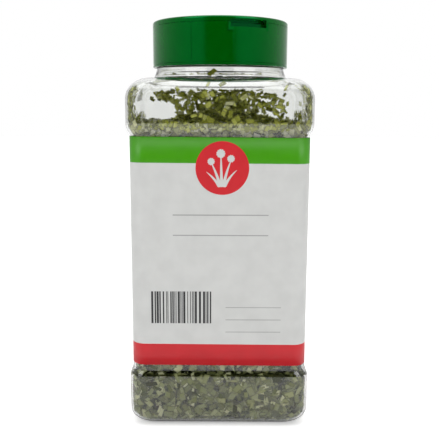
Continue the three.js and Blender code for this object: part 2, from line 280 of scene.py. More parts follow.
def leaf(name, greens):
    material, shader = new_material(name, Specular_IOR_Level=0.35, Roughness=0.62)
    chance = node(material, "ShaderNodeNewGeometry")
    ramp = vary_colour(material, shader, chance.outputs["Random Per Island"], greens)
    flow = node(material, "ShaderNodeUVMap", uv_map="leaf")
    veins = node(material, "ShaderNodeTexWave", Scale=2.6, Distortion=0.8)
    veins.bands_direction = "Y"
    link(material, flow.outputs["UV"], veins.inputs["Vector"])
    veined = node(material, "ShaderNodeMix", data_type="RGBA", blend_type="MULTIPLY")
    veined.inputs["Factor"].default_value = VEIN_STRENGTH
    link(material, ramp.outputs["Color"], veined.inputs[MIX_A])
    link(material, veins.outputs["Color"], veined.inputs[MIX_B])
    # Painted shade: the leaf map darkens each flake towards its edges.
    place = node(material, "ShaderNodeSeparateXYZ")
    link(material, flow.outputs["UV"], place.inputs["Vector"])
    reaches = []
    for axis in ("X", "Y"):
        from_middle = node(material, "ShaderNodeMath", operation="SUBTRACT")
        from_middle.inputs[1].default_value = MAP_MIDDLE
        link(material, place.outputs[axis], from_middle.inputs[0])
        size = node(material, "ShaderNodeMath", operation="ABSOLUTE")
        link(material, from_middle.outputs[0], size.inputs[0])
        reaches.append(size)
    farther = node(material, "ShaderNodeMath", operation="MAXIMUM")
    for i, size in enumerate(reaches):
        link(material, size.outputs[0], farther.inputs[i])
    rim = node(material, "ShaderNodeMapRange")
    set_range(rim, *EDGE_SHADE_SPAN)
    link(material, farther.outputs[0], rim.inputs["Value"])
    edge_shaded = node(material, "ShaderNodeMix", data_type="RGBA", blend_type="MIX")
    edge_shaded.inputs[MIX_B].default_value = EDGE_SHADE_COLOUR
    link(material, rim.outputs["Result"], edge_shaded.inputs["Factor"])
    link(material, veined.outputs[MIX_RESULT], edge_shaded.inputs[MIX_A])
    link(material, edge_shaded.outputs[MIX_RESULT], shader.inputs["Base Color"])
    add_bump(material, shader, veins, 0.25, 0.0001)
    return material


# %% [markdown]
# Three ramps run from the darkest flake to the palest straw. The settled flakes at the base are dusty and
# look sage. Those pressed under the shoulder get a paler ramp, which is painted light: the light falls
# strongest on them there. The loose ones above are clean, so their ramp is more olive, and it is also lifted
# brighter as painted light.

# %% Greens of the flakes
settled_leaf = leaf(
    "settled_leaf",
    [
        (0.0, (0.06, 0.072, 0.015)),
        (0.18, (0.2, 0.225, 0.065)),
        (0.42, (0.325, 0.355, 0.125)),
        (0.65, (0.445, 0.475, 0.195)),
        (0.85, (0.61, 0.63, 0.29)),
        (0.94, (0.87, 0.875, 0.52)),
    ],
)
# Lifted brighter than the settled ramp: partly painted light.
loose_leaf = leaf(
    "loose_leaf",
    [
        (0.0, (0.18, 0.2, 0.015)),
        (0.2, (0.48, 0.51, 0.06)),
        (0.45, (0.7, 0.73, 0.12)),
        (0.65, (0.82, 0.85, 0.19)),
        (0.85, (0.86, 0.88, 0.3)),
        (0.95, (0.95, 0.95, 0.52)),
    ],
)
# Paler still: painted light, for the flakes where the light falls strongest.
pale_lit_leaf = leaf(
    "pale_lit_leaf",
    [
        (0.0, (0.2, 0.21, 0.05)),
        (0.2, (0.52, 0.54, 0.2)),
        (0.45, (0.72, 0.74, 0.33)),
        (0.65, (0.84, 0.85, 0.45)),
        (0.85, (0.93, 0.93, 0.6)),
        (0.95, (0.96, 0.95, 0.74)),
    ],
)

# %% [markdown]
# The middle of the heap shows only in the chinks between the flakes, where they shade it, so its colour is
# painted shade, darker than any of them. A coarse noise breaks its colour into crumbs, and the same noise
# gives it a strong bump.

# %% Shade in the heap
heap_shade, shader = new_material("heap_shade", Roughness=0.9, Specular_IOR_Level=0.1)
crumbs = object_noise(heap_shade, 420, 4)
vary_colour(
    heap_shade, shader, crumbs.outputs[0], [(0.35, (0.03, 0.038, 0.008)), (0.65, (0.12, 0.135, 0.04))]
)
add_bump(heap_shade, shader, crumbs, 0.9, 0.0015)

# %% [markdown]
# ## The jar
# The jar's outline is a square with round corners below and a circle at the neck. It could be subdivided
# from a cube, but a squared lathe holds the sizes better: a ring of points is extruded upwards, station by
# station, and each ring is drawn to that station's half width and corner radius. A circle is then only a
# ring whose corner radius is as large as its half width.

# %% Rings of a squared lathe
RING_STEPS = 128


def on_outline(turn, half, corner):
    straight = half - corner
    across, along = math.cos(turn), math.sin(turn)
    return (
        math.copysign(straight, across) + corner * across,
        math.copysign(straight, along) + corner * along,
    )


def squared_lathe(stations, close_top=False):
    """Stacks a ring for each station, which is a half width, a corner radius and a height"""
    bm = bmesh.new()
    turn = bm.verts.layers.float.new("turn")
    turned_half_step = Matrix.Rotation(math.pi / RING_STEPS, 4, "Z")
    bmesh.ops.create_circle(
        bm, cap_ends=True, cap_tris=True, segments=RING_STEPS, radius=MM, matrix=turned_half_step
    )
    ring = [v for v in bm.verts if v.co.length > 0.5 * MM]
    for v in ring:
        v[turn] = math.atan2(v.co.y, v.co.x)
    centre = next(v for v in bm.verts if v.co.length < 0.5 * MM)
    centre.co.z = stations[0][2] * MM
    edges = [e for e in bm.edges if centre not in e.verts]
    for i, (half, corner, z) in enumerate(stations):
        if i:
            made = bmesh.ops.extrude_edge_only(bm, edges=edges)["geom"]
            ring = [e for e in made if isinstance(e, bmesh.types.BMVert)]
            edges = [e for e in made if isinstance(e, bmesh.types.BMEdge)]
        for v in ring:
            x, y = on_outline(v[turn], half, min(corner, half))
            v.co = (x * MM, y * MM, z * MM)
    if close_top:
        bmesh.ops.contextual_create(bm, geom=edges)
    bm.verts.layers.float.remove(turn)
    bmesh.ops.recalc_face_normals(bm, faces=bm.faces)
    return bm


print(f"rings of {RING_STEPS} points")

# %% [markdown]
# The stations follow the real jar: a pushed-up middle under the base, a flat ring that it stands on, a
# round into the straight base, a step into the panel that holds the label, a step out again to the
# shoulder, and the shoulder's round up to the neck. Rounds are quarter circles. The lower step is a short
# straight slope, and the upper one eases from one width to the next. Two rings stand close together at the
# end of each straight wall, so that smooth shading keeps the wall flat up to there.

# %% Rounds and steps
def quarter_round(half, z, radius, first, last, corners, steps=12):
    for i in range(steps + 1):
        share = i / steps
        angle = math.radians(first + (last - first) * share)
        corner = corners[0] + (corners[1] - corners[0]) * share
        yield half + radius * math.cos(angle), corner, z + radius * math.sin(angle)


def eased_step(start, end, power, steps=9):
    for i in range(steps + 1):
        share = i / steps
        eased = 1 - (1 - share) ** power
        yield tuple(a + (b - a) * s for a, b, s in zip(start, end, (eased, eased, share)))


# %% The jar's stations
def body_stations():
    foot = BASE_HALF - BASE_ROUND
    yield 3.0, 3.0, 2.5
    yield 22.0, FOOT_CORNER, 2.2
    yield 25.5, FOOT_CORNER, 1.7
    yield 27.6, FOOT_CORNER, 0.6
    yield 29.0, FOOT_CORNER, 0.0
    yield from quarter_round(foot, BASE_ROUND, BASE_ROUND, -90, 0, (FOOT_CORNER, OUTER_CORNER))
    yield BASE_HALF, OUTER_CORNER, BASE_ROUND + 0.4
    yield BASE_HALF, OUTER_CORNER, BASE_TOP - 2.5
    yield BASE_HALF, OUTER_CORNER, BASE_TOP - 2.2
    yield BASE_HALF - 0.06, OUTER_CORNER, BASE_TOP - 1.9
    yield BASE_HALF - 0.22, OUTER_CORNER, BASE_TOP - 1.65
    yield PANEL_HALF + 0.16, PANEL_CORNER, BASE_TOP
    yield PANEL_HALF + 0.04, PANEL_CORNER, BASE_TOP + 0.22
    yield PANEL_HALF, PANEL_CORNER, BASE_TOP + 0.5
    yield PANEL_HALF, PANEL_CORNER, PANEL_BOTTOM + 2
    yield PANEL_HALF, PANEL_CORNER, PANEL_TOP - 2
    upper = (PANEL_HALF, PANEL_CORNER, PANEL_TOP), (SHOULDER_HALF, OUTER_CORNER, SHOULDER_BOTTOM - 1.6)
    yield from eased_step(*upper, 1.8)
    yield SHOULDER_HALF, OUTER_CORNER, SHOULDER_BOTTOM - 1.3
    yield SHOULDER_HALF, OUTER_CORNER, SHOULDER_TOP - SHOULDER_ROUND - 0.4
    yield from quarter_round(
        SHOULDER_HALF - SHOULDER_ROUND,
        SHOULDER_TOP - SHOULDER_ROUND,
        SHOULDER_ROUND,
        0,
        90,
        (OUTER_CORNER, FOOT_CORNER + 2),
    )


def neck_stations():
    circles = [
        (33.4, SHOULDER_TOP + 0.3),
        (33.1, SHOULDER_TOP + 0.8),
        (32.7, SHOULDER_TOP + 1.8),
        (32.2, SHOULDER_TOP + 3.2),
        (31.75, SHOULDER_TOP + 4.6),
        (31.5, SHOULDER_TOP + 5.4),
        (31.2, SHOULDER_TOP + 6.2),
        (30.7, SHOULDER_TOP + 6.8),
        (30.0, SHOULDER_TOP + 7.2),
        (30.0, RIM - 0.4),
        (29.7, RIM),
    ]
    for radius, z in circles:
        yield radius, radius, z


outside = [*body_stations(), *neck_stations()]
print(f"{len(outside)} rings from the middle of the base to the rim")

# %% [markdown]
# The blown wall is thin, and the neck, which is moulded before the jar is blown, is thicker. How thick can't
# be seen, so it is guessed: here the neck's wall thickens towards the shoulder, which bends the light as a
# prism does and keeps the neck bright under the cap. A vertex group tells the Solidify modifier how much of
# the full thickness each ring gets.

# %% The jar's wall
NECK_WALL = 1.6
NECK_TOP_R = 31.6
THICK_LOW, THICK_HIGH = SHOULDER_TOP + 0.5, SHOULDER_TOP + 5.0
jar = piece("jar_wall", squared_lathe(outside), "jar", "clear_plastic", clear_plastic, crease=50)
thickness = jar.vertex_groups.new(name="thickness")
for v in jar.data.vertices:
    thick = WALL
    if THICK_LOW < v.co.z / MM < THICK_HIGH:
        thick = min(max(WALL + (v.co.xy.length / MM - NECK_TOP_R) / 2, WALL), NECK_WALL)
    thickness.add([v.index], thick / NECK_WALL, "REPLACE")
wall = jar.modifiers.new("wall", "SOLIDIFY")
wall.thickness = NECK_WALL * MM
wall.vertex_group = "thickness"
wall.offset = -1
wall.use_even_offset = True
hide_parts("jar")

# %% [markdown]
# Four short slanting ridges on the neck hold the cap. Each is a small section spun a part of a turn while
# it climbs. They are under the cap, so they show only when it is looked into.

# %% Neck ridges
RIDGE_STARTS = [math.radians(10 + 90 * i) for i in range(4)]
RIDGE_TURN = math.radians(55)
RIDGE_RISE = 2.4
RIDGE_STEPS = 14
RIDGE_SECTION = ((30.02, 177.2), (31.3, 177.65), (31.3, 178.55), (30.02, 179.0))
neck_ridges = bmesh.new()
for start in RIDGE_STARTS:
    begin = Matrix.Rotation(start, 4, "Z")
    corners = [neck_ridges.verts.new(begin @ Vector((r * MM, 0, z * MM))) for r, z in RIDGE_SECTION]
    face = neck_ridges.faces.new(corners)
    bmesh.ops.spin(
        neck_ridges,
        geom=[face],
        axis=(0, 0, 1),
        angle=RIDGE_TURN,
        steps=RIDGE_STEPS,
        dvec=(0, 0, RIDGE_RISE * MM / RIDGE_STEPS),
    )
bmesh.ops.recalc_face_normals(neck_ridges, faces=neck_ridges.faces)
piece("neck_ridges", neck_ridges, "jar", "clear_plastic", clear_plastic)

# %% [markdown]
# ## The label
# The film is one strip that is wrapped round the recessed panel and stops short of itself at the back, where
# the chives show through the gap. It starts as one upright edge with a point at each colour's border. The
# edge is extruded along each side and spun round each corner, as the film itself goes on. The faces
# between two heights then take that band's ink. Such a film is never quite straight, so it leans by a hair.

# %% The wrapped film
FILM = 0.28
GAP_HALF = 7.0
RED_TOP = 41.9
GREEN_BOTTOM = 127.75
FILM_LEAN = -0.005
CORNER_STEPS = 14
label_half = label_high.x - 0.02
label_corner = PANEL_CORNER + label_half - PANEL_HALF
label_straight = label_half - label_corner


def wrapped_film():
    bm = bmesh.new()
    heights = (label_low.z, RED_TOP, GREEN_BOTTOM, label_high.z)
    verts = [bm.verts.new((GAP_HALF * MM, label_half * MM, z * MM)) for z in heights]
    edges = [bm.edges.new(pair) for pair in zip(verts, verts[1:])]
    runs = [label_straight - GAP_HALF] + [2 * label_straight] * 3 + [label_straight - GAP_HALF]
    heading = Vector((1, 0, 0))
    corner = Vector((label_straight, label_straight, 0))
    quarter = Matrix.Rotation(-math.pi / 2, 4, "Z")
    for i, run in enumerate(runs):
        made = bmesh.ops.extrude_edge_only(bm, edges=edges)["geom"]
        moved = [e for e in made if isinstance(e, bmesh.types.BMVert)]
        edges = [e for e in made if isinstance(e, bmesh.types.BMEdge)]
        bmesh.ops.translate(bm, verts=moved, vec=heading * run * MM)
        if i == len(runs) - 1:
            break
        spun = bmesh.ops.spin(
            bm, geom=edges, cent=corner * MM, axis=(0, 0, 1), angle=-math.pi / 2, steps=CORNER_STEPS
        )["geom_last"]
        edges = [e for e in spun if isinstance(e, bmesh.types.BMEdge)]
        heading = quarter @ heading
        corner = quarter @ corner
    bmesh.ops.remove_doubles(bm, verts=bm.verts, dist=1e-6)
    bmesh.ops.recalc_face_normals(bm, faces=bm.faces)
    for face in bm.faces:
        height = face.calc_center_median().z / MM
        face.material_index = 1 if height > GREEN_BOTTOM else 2 if height < RED_TOP else 0
    askew = Matrix.Identity(4)
    askew[2][0] = FILM_LEAN
    bmesh.ops.transform(bm, matrix=askew, verts=bm.verts)
    outward = next(f for f in bm.faces if f.calc_center_median().x > 0.99 * label_half * MM)
    if outward.normal.x < 0:
        bmesh.ops.reverse_faces(bm, faces=bm.faces)
    return bm


label = piece("label_film", wrapped_film(), "jar", "label_film", white_film, green_ink, red_ink)
film = label.modifiers.new("film", "SOLIDIFY")
film.thickness = FILM * MM
film.offset = -1
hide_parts("label")

# %% [markdown]
# ## The print
# The label carries a plain design: a red roundel with a sprig of chives, two long rules and three short
# ones, and a block of bars. Printed shapes could be painted by nodes, but thin plates on the film keep
# crisp edges from any distance, so each shape is a flat outline with its own hair of thickness.

# %% Printing plates
INK = 0.03
front = -label_half - 0.005


def stand_up(bm, x, z, layer=0):
    """Turns a drawing on the XY plane up against the film's front face"""
    turn = Matrix.Rotation(math.pi / 2, 4, "X")
    place = Matrix.Translation(Vector((x, front - layer * INK, z)) * MM)
    bmesh.ops.transform(bm, matrix=place @ turn, verts=bm.verts)


def thicken(bm):
    made = bmesh.ops.extrude_face_region(bm, geom=bm.faces[:])["geom"]
    lifted = [e for e in made if isinstance(e, bmesh.types.BMVert)]
    bmesh.ops.translate(bm, verts=lifted, vec=(0, 0, INK * MM))
    bmesh.ops.recalc_face_normals(bm, faces=bm.faces)


def plate(bm, width, height, x=0, y=0):
    size = Matrix.Diagonal((width * MM, height * MM, 1, 1))
    place = Matrix.Translation((x * MM, y * MM, 0))
    bmesh.ops.create_grid(bm, x_segments=1, y_segments=1, size=0.5, matrix=place @ size)


def disc(bm, radius, x=0, y=0, segments=72, lift=0):
    place = Matrix.Translation((x * MM, y * MM, lift * MM))
    bmesh.ops.create_circle(bm, cap_ends=True, segments=segments, radius=radius * MM, matrix=place)


print(f"the label's front face is {-front:.2f} mm in front of the axis")

# %% [markdown]
# The roundel is one disc. It sits over the border between the green band and the white.

# %% The roundel
EMBLEM_X, EMBLEM_Z = 1.2, 125.6
ROUNDEL_R = 12.2
emblem = bmesh.new()
disc(emblem, ROUNDEL_R)
thicken(emblem)
stand_up(emblem, EMBLEM_X, EMBLEM_Z)
piece("label_roundel", emblem, "jar", "label_film", red_ink)

# %% [markdown]
# The sprig has five leaves, each a narrow grid that is tapered and bowed, and three flower heads, each a
# disc inside a wreath of small ones. Shapes that cross lie a few micrometres above each other, because
# faces in the same place would flicker.

# %% The sprig
def blade(bm, length, width, lean, bow, x, lift):
    made = bmesh.ops.create_grid(bm, x_segments=2, y_segments=14, size=0.5)["verts"]
    for v in made:
        up = v.co.y + 0.5
        side = v.co.x * width * (1 - up) ** 0.6 * 2 if up > 0.02 else v.co.x * width
        v.co = Vector((side + bow * up**2 + x, up * length, lift)) * MM
    turned = Matrix.Rotation(-math.radians(lean), 4, "Z")
    bmesh.ops.rotate(bm, verts=made, cent=(x * MM, 0, 0), matrix=turned)


HAIR = 0.003
PETALS = 11
BLADES = (
    (15.5, 0.8, -3, 0.4, -0.2),
    (13.0, 0.8, 9, 1.6, 0.5),
    (12.5, 0.8, -14, -1.5, -0.9),
    (9.5, 0.75, 22, 2.4, 1.0),
    (9.0, 0.75, -27, -2.3, -1.3),
)
HEADS = ((-0.7, 15.2, 1.6), (3.9, 12.9, 1.35), (-5.1, 11.6, 1.3))
SPRIG_FOOT = 8.6
sprig = bmesh.new()
for i, (length, width, lean, bow, x) in enumerate(BLADES):
    blade(sprig, length, width, lean, bow, x, i * HAIR)
for x, y, size in HEADS:
    for petal in range(PETALS):
        angle = math.radians(petal * 360 / PETALS)
        spot = x + size * math.cos(angle), y + size * math.sin(angle)
        disc(sprig, size * 0.3, *spot, 12, (petal % 2 + 5) * HAIR)
    disc(sprig, size * 0.95, x, y, 24, 7 * HAIR)
thicken(sprig)
stand_up(sprig, EMBLEM_X, EMBLEM_Z - SPRIG_FOOT, 1)
piece("label_sprig", sprig, "jar", "label_film", white_film)

# %% [markdown]
# Two long rules stand where a name would be written, and three short ones lower down. The bars stand for no
# number: their widths and gaps are drawn at random from three sizes.

# %% Rules and bars
rules = bmesh.new()
for y in (0, -9.5):
    plate(rules, 44, 0.45, 0, y)
for y in (-44, -50, -56):
    plate(rules, 26, 0.3, 15.5, y)
thicken(rules)
stand_up(rules, 0.5, 104)
piece("label_rules", rules, "jar", "label_film", grey_ink)

BAR_WIDTHS = (0.32, 0.32, 0.64, 0.96)
BAR_HEIGHT = 15.5
BARS_HALF = 14.5
bars = bmesh.new()
bar_draw = random.Random(12)
edge = -BARS_HALF
while edge < BARS_HALF:
    width = bar_draw.choice(BAR_WIDTHS)
    plate(bars, width, BAR_HEIGHT, edge + width / 2)
    edge += width + bar_draw.choice(BAR_WIDTHS)
thicken(bars)
stand_up(bars, -17.4, 60)
piece("label_bars", bars, "jar", "label_film", black_ink)

# %% [markdown]
# ## The chives
# Chopped chives are short pieces of a hollow leaf. Drying flattens most of them and leaves a few rolled up.
# Filling the jar with thousands of loose bodies and letting them fall would be slow, and only those next to
# the wall are ever seen. So a dark heap fills the middle, and flakes are laid on it in layers: flat against
# the wall where they are pressed to it, at all angles on top, and singly where static holds them to the
# empty part of the jar.

# %% One flake in several forms
draw = random.Random(35)
FLAKE_THICKNESS = 0.2
FLAT_UNDER = 1.6


def flake_form(length, width, roll, skew):
    """A strip of leaf, rolled about its own length by an angle in radians"""
    bm = bmesh.new()
    across = 3 if roll < FLAT_UNDER else 8
    made = bmesh.ops.create_grid(bm, x_segments=1, y_segments=across, size=0.5)["verts"]
    leaf_map = bm.loops.layers.uv.new("leaf")
    for face in bm.faces:
        for loop in face.loops:
            loop[leaf_map].uv = (loop.vert.co.x + 0.5, loop.vert.co.y + 0.5)
    radius = width / roll
    for v in made:
        angle = v.co.y * roll
        along = v.co.x * length + v.co.y * skew
        v.co = Vector((along, radius * math.sin(angle), radius * (1 - math.cos(angle)))) * MM
    heights = [v.co.z for v in made]
    bmesh.ops.translate(bm, verts=made, vec=(0, 0, -(min(heights) + max(heights)) / 2))
    bmesh.ops.recalc_face_normals(bm, faces=bm.faces)
    bmesh.ops.solidify(bm, geom=bm.faces[:], thickness=FLAKE_THICKNESS * MM)
    mesh = bpy.data.meshes.new("flake_form")
    bm.to_mesh(mesh)
    bm.free()
    return mesh


def drawn_forms(count, *spans):
    """Forms whose length, width, roll and skew are drawn from four spans"""
    return [flake_form(*(draw.uniform(*span) for span in spans)) for _ in range(count)]


FLAT_FORMS = drawn_forms(18, (2.3, 4.1), (1.3, 2.7), (0.2, 1.0), (-0.8, 0.8))
ROLLED_FORMS = drawn_forms(8, (2.2, 3.8), (3.0, 4.6), (2.6, 5.2), (-0.4, 0.4))
print(f"{len(FLAT_FORMS)} flat and {len(ROLLED_FORMS)} rolled flake forms")

# %% [markdown]
# To lay a flake against the wall, its place there has to be known. The jar's rings give it: a place is a
# distance along the outline from the middle of the base, one of four sides, and a share of that side.

# %% Where the inside of the wall is
FOOT_RING = 5


def lengths_along(stations):
    total = [0.0]
    for (half, _, z), (next_half, _, next_z) in zip(stations, stations[1:]):
        total.append(total[-1] + math.hypot(next_half - half, next_z - z))
    return total


reach = lengths_along(outside)
print(f"the outline is {reach[-1]:.0f} mm long")


def ring_below(distance):
    return max(k for k, length in enumerate(reach[:-1]) if length <= distance)


def reach_at(z):
    """How far along the outline, from the middle of the base, it first climbs to this height"""
    for i, (before, after) in enumerate(zip(outside, outside[1:])):
        if i > FOOT_RING and before[2] <= z < after[2]:
            return reach[i] + (reach[i + 1] - reach[i]) * (z - before[2]) / (after[2] - before[2])
    return reach[-1]


def wall_spot(distance, side, share, inset):
    """A point inside the wall and the way out of it, from a share of -1 to 1 along one side"""
    i = ring_below(distance)
    part = (distance - reach[i]) / (reach[i + 1] - reach[i])
    (half, corner, z), (next_half, next_corner, next_z) = outside[i], outside[i + 1]
    slope = math.atan2(next_z - z, next_half - half)
    half += (next_half - half) * part
    corner = min(corner + (next_corner - corner) * part, half)
    z += (next_z - z) * part
    straight = half - corner
    along = share * (straight + corner * math.pi / 4)
    over = max(abs(along) - straight, 0) / max(corner, 0.1)
    flat_out = Vector((math.copysign(math.sin(over), along), -math.cos(over), 0))
    spot = Vector((math.copysign(min(abs(along), straight), along), -straight, z)) + flat_out * corner
    out = flat_out * math.sin(slope) - Vector((0, 0, math.cos(slope)))
    turned = Matrix.Rotation(side * math.pi / 2, 3, "Z")
    spot -= out * (WALL + inset)
    return turned @ spot, turned @ out


# %% [markdown]
# A flake is turned to face out of the wall, spun at random and tilted a little. A flat flake on a round
# would stick out through the wall with its ends, so there it is laid a little deeper. Along the two bends
# of the lower step the light is turned aside, and the two thin dark lines that this leaves are painted
# shade: the heap's dark core reaches out to the wall there, and most flakes are left out so that it shows.

# %% Laying flakes
ROUND_INSET = 0.5
# Heights of the two painted shade lines at the bends of the lower step.
PAINTED_SHADE_LINES = (BASE_TOP - 1.9, BASE_TOP + 0.3)
LINE_REACH = 1.0
LEFT_OUT = 0.8


def on_round(out):
    """Whether the wall faces neither straight along X nor straight along Y"""
    return max(abs(out.x), abs(out.y)) < 0.999


def facing(out, spin, tilt):
    turn = Vector((0, 0, 1)).rotation_difference(out).to_matrix().to_4x4()
    lean = Matrix.Rotation(tilt[0], 4, "X") @ Matrix.Rotation(tilt[1], 4, "Y")
    return turn @ lean @ Matrix.Rotation(spin, 4, "Z")


def lay_flake(bm, spot, out, tilt, rolled, size=1.0, slim=1.0):
    """Lays one flake so that its outermost point just reaches a spot"""
    form = draw.choice(ROLLED_FORMS if draw.random() < rolled else FLAT_FORMS)
    size *= draw.uniform(0.8, 1.1)
    over = Matrix.Rotation(math.pi * draw.randint(0, 1), 4, "X")
    turned = facing(out, draw.uniform(0, math.tau), (draw.gauss(0, tilt), draw.gauss(0, tilt)))
    copy = form.copy()
    copy.transform(turned @ over @ Matrix.Diagonal((size, size * slim, size, 1)))
    outermost = max(v.co.dot(out) for v in copy.vertices)
    copy.transform(Matrix.Translation(spot * MM - out * outermost))
    bm.from_mesh(copy)
    bpy.data.meshes.remove(copy)


def pressed_flakes(bm, count, low, high, inset, tilt, sides=(0, 1, 2, 3), spread=1.0, size=1.0):
    """Flakes between two distances along the outline, pressed to the wall, and fewer where it is narrow"""
    for _ in range(count):
        distance = draw.uniform(low, high)
        half = outside[ring_below(distance)][0]
        if draw.random() * BASE_HALF > half + 4:
            continue
        side, share = draw.choice(sides), draw.uniform(-spread, spread)
        spot, out = wall_spot(distance, side, share, draw.uniform(*inset))
        # At the painted shade lines most flakes that would touch the wall are left out, so the dark core
        # shows.
        at_line = min(abs(spot.z - line) for line in PAINTED_SHADE_LINES) < LINE_REACH
        if at_line and inset[0] < 0 and draw.random() < LEFT_OUT:
            continue
        if on_round(out):
            spot -= out * ROUND_INSET
        lay_flake(bm, spot, out, tilt, 0.1, size)


print(f"on a round, flakes lie {ROUND_INSET} mm deeper")

# %% [markdown]
# The heap's top isn't level: it stands a little higher behind its middle, as it settled when the jar was
# set down. One formula gives its height for the dark heap and for the flakes on it.

# %% The heap
HEAP_LEVEL = 143.5
HEAP_RISE = 8.0
HEAP_INSET = 2.4


def smooth_share(value, low, high):
    share = min(max((value - low) / (high - low), 0), 1)
    return share * share * (3 - 2 * share)


def heap_height(x, y):
    behind = smooth_share(y, -8, 34)
    middle = math.exp(-((x - 2) ** 2) / (2 * 17**2))
    lumps = math.sin(x / 7 + 1.3) * math.cos(y / 8 - 0.4)
    return HEAP_LEVEL + HEAP_RISE * behind * middle + 0.9 * lumps


def heap_stations():
    inset = WALL + HEAP_INSET
    for half, corner, z in outside:
        if z < 15 and half < BASE_HALF:
            low = half < BASE_HALF - BASE_ROUND + 1
            narrowed = max(half - (0 if low else inset), 1)
            yield narrowed, max(min(corner, narrowed) - 1, 0.9), max(z + (inset if low else 0), inset)
    upright = [(half - inset, corner - 1, z) for half, corner, z in outside if 15 < z < PANEL_TOP]
    # At each painted shade line the dark core reaches out to the wall in a thin ridge.
    for line in PAINTED_SHADE_LINES:
        touching = -wall_spot(reach_at(line), 0, 0, 0.1)[0].y
        hidden = PANEL_HALF - inset
        for half, rise in ((hidden, -0.28), (touching, -0.22), (touching, 0.22), (hidden, 0.28)):
            upright.append((half, OUTER_CORNER - 1, line + rise))
    yield from sorted(upright, key=lambda station: station[2])
    for half in (37, 33, 29, 25, 21, 17, 13, 9, 5, 2):
        yield half, half * 0.7, HEAP_LEVEL


heap = squared_lathe(list(heap_stations()), close_top=True)
for v in heap.verts:
    if v.co.z / MM > HEAP_LEVEL - 0.5:
        v.co.z = (heap_height(v.co.x / MM, v.co.y / MM) - 1.6) * MM
heap_core = piece("chive_heap", heap, "jar", "dried_leaf", heap_shade)
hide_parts("dried_chives")

# %% [markdown]
# The flakes that show through the wall lie in two layers: loose and tilted ones deeper in, and flat ones
# pressed to the plastic in front of them. Behind the label they would never be seen, so there they are laid
# only in the gap at the back.

# %% Flakes against the base and the back gap
foot, base_top = reach[FOOT_RING], reach_at(PANEL_BOTTOM + 1.5)
base_flakes = bmesh.new()
pressed_flakes(base_flakes, 2500, foot, base_top, (0.2, 1.5), 0.4, size=1.2)
pressed_flakes(base_flakes, 2000, foot, base_top, (-0.35, 0.1), 0.11, size=1.25)
piece("chives_at_base", base_flakes, "jar", "dried_leaf", settled_leaf)

under_flakes = bmesh.new()
pressed_flakes(under_flakes, 2400, 0.5, foot, (-0.3, 1.2), 0.14)
piece("chives_on_base", under_flakes, "jar", "dried_leaf", settled_leaf)

gap_flakes = bmesh.new()
gap_spread = (GAP_HALF + 4) / label_half
panel_low, panel_high = reach_at(PANEL_BOTTOM), reach_at(PANEL_TOP)
pressed_flakes(gap_flakes, 650, panel_low, panel_high, (0.6, 2.0), 0.4, (2,), gap_spread)
pressed_flakes(gap_flakes, 650, panel_low, panel_high, (0.05, 0.5), 0.13, (2,), gap_spread)
piece("chives_in_label_gap", gap_flakes, "jar", "dried_leaf", settled_leaf)

# %% [markdown]
# Under the shoulder the jar is full as far as the heap's edge. On top, flakes lie at all angles over the
# whole heap, a little above and below its surface.

# %% Flakes under the shoulder and on top of the heap
shoulder_flakes = bmesh.new()
fill_low, fill_high = reach_at(PANEL_TOP - 3), reach_at(HEAP_LEVEL + 0.8)
pressed_flakes(shoulder_flakes, 700, fill_low, fill_high, (0.4, 2.0), 0.3)
pressed_flakes(shoulder_flakes, 420, fill_low, fill_high, (0.0, 0.5), 0.16, size=1.1)
piece("chives_at_shoulder", shoulder_flakes, "jar", "dried_leaf", pale_lit_leaf)

TOP_HALF = 38.5
top_flakes = bmesh.new()
for _ in range(3600):
    x, y = draw.uniform(-TOP_HALF, TOP_HALF), draw.uniform(-TOP_HALF, TOP_HALF)
    height = heap_height(x, y) + draw.uniform(-2.2, 1.4)
    lay_flake(top_flakes, Vector((x, y, height)), Vector((0, 0, 1)), 0.55, rolled=0.12)
piece("chives_on_top", top_flakes, "jar", "dried_leaf", loose_leaf)

# %% [markdown]
# Above the heap, flakes cling to the wall. They are thick behind the middle, thin out towards both sides,
# and gather again near the front corners. Each patch is a side, a span of heights, where it begins, is
# thickest and ends, as shares of the side, and how many flakes it has. One more flake sticks to the neck.

# %% Clinging flakes
PATCHES = (
    (2, 142.0, 163.2, -0.98, -0.2, 0.72, 360),
    (2, 142.0, 162.8, -0.96, -0.6, 0.7, 140),
    (2, 143.0, 162.3, -0.3, 0.35, 0.72, 130),
    (2, 156.5, 163.2, 0.6, 0.78, 0.99, 46),
    (2, 161.0, 165.2, -0.95, -0.2, 0.95, 44),
    (0, 142.5, 145.6, -0.98, 0.0, 0.98, 90),
    (0, 146.0, 159.0, -0.5, 0.15, 0.75, 34),
    (0, 160.0, 164.5, -0.9, -0.1, 0.9, 4),
    (1, 142.5, 164.0, -1.0, -1.0, -0.35, 210),
    (1, 142.5, 150.0, -0.3, 0.3, 1.0, 30),
    (3, 142.5, 149.0, -1.0, 0.7, 1.0, 80),
    (3, 148.0, 163.0, 0.3, 0.98, 1.0, 80),
)
clinging = bmesh.new()
for side, low, high, first, thickest, last, count in PATCHES:
    low, high = reach_at(low), reach_at(high)
    for _ in range(count):
        share = draw.triangular(first, last, thickest)
        spot, out = wall_spot(draw.uniform(low, high), side, share, draw.uniform(0.0, 0.3))
        if on_round(out):
            spot -= out * ROUND_INSET * 0.6
        lay_flake(clinging, spot, out, 0.14, 0.05, 0.95, slim=0.85)
NECK_FLAKE_TURN = math.radians(-97)
on_neck = Vector((math.cos(NECK_FLAKE_TURN), math.sin(NECK_FLAKE_TURN), 0))
lay_flake(clinging, on_neck * (NECK_TOP_R - 0.5) + Vector((0, 0, 168.4)), on_neck, 0.1, 0, 1.5)
piece("chives_on_wall", clinging, "jar", "dried_leaf", loose_leaf)

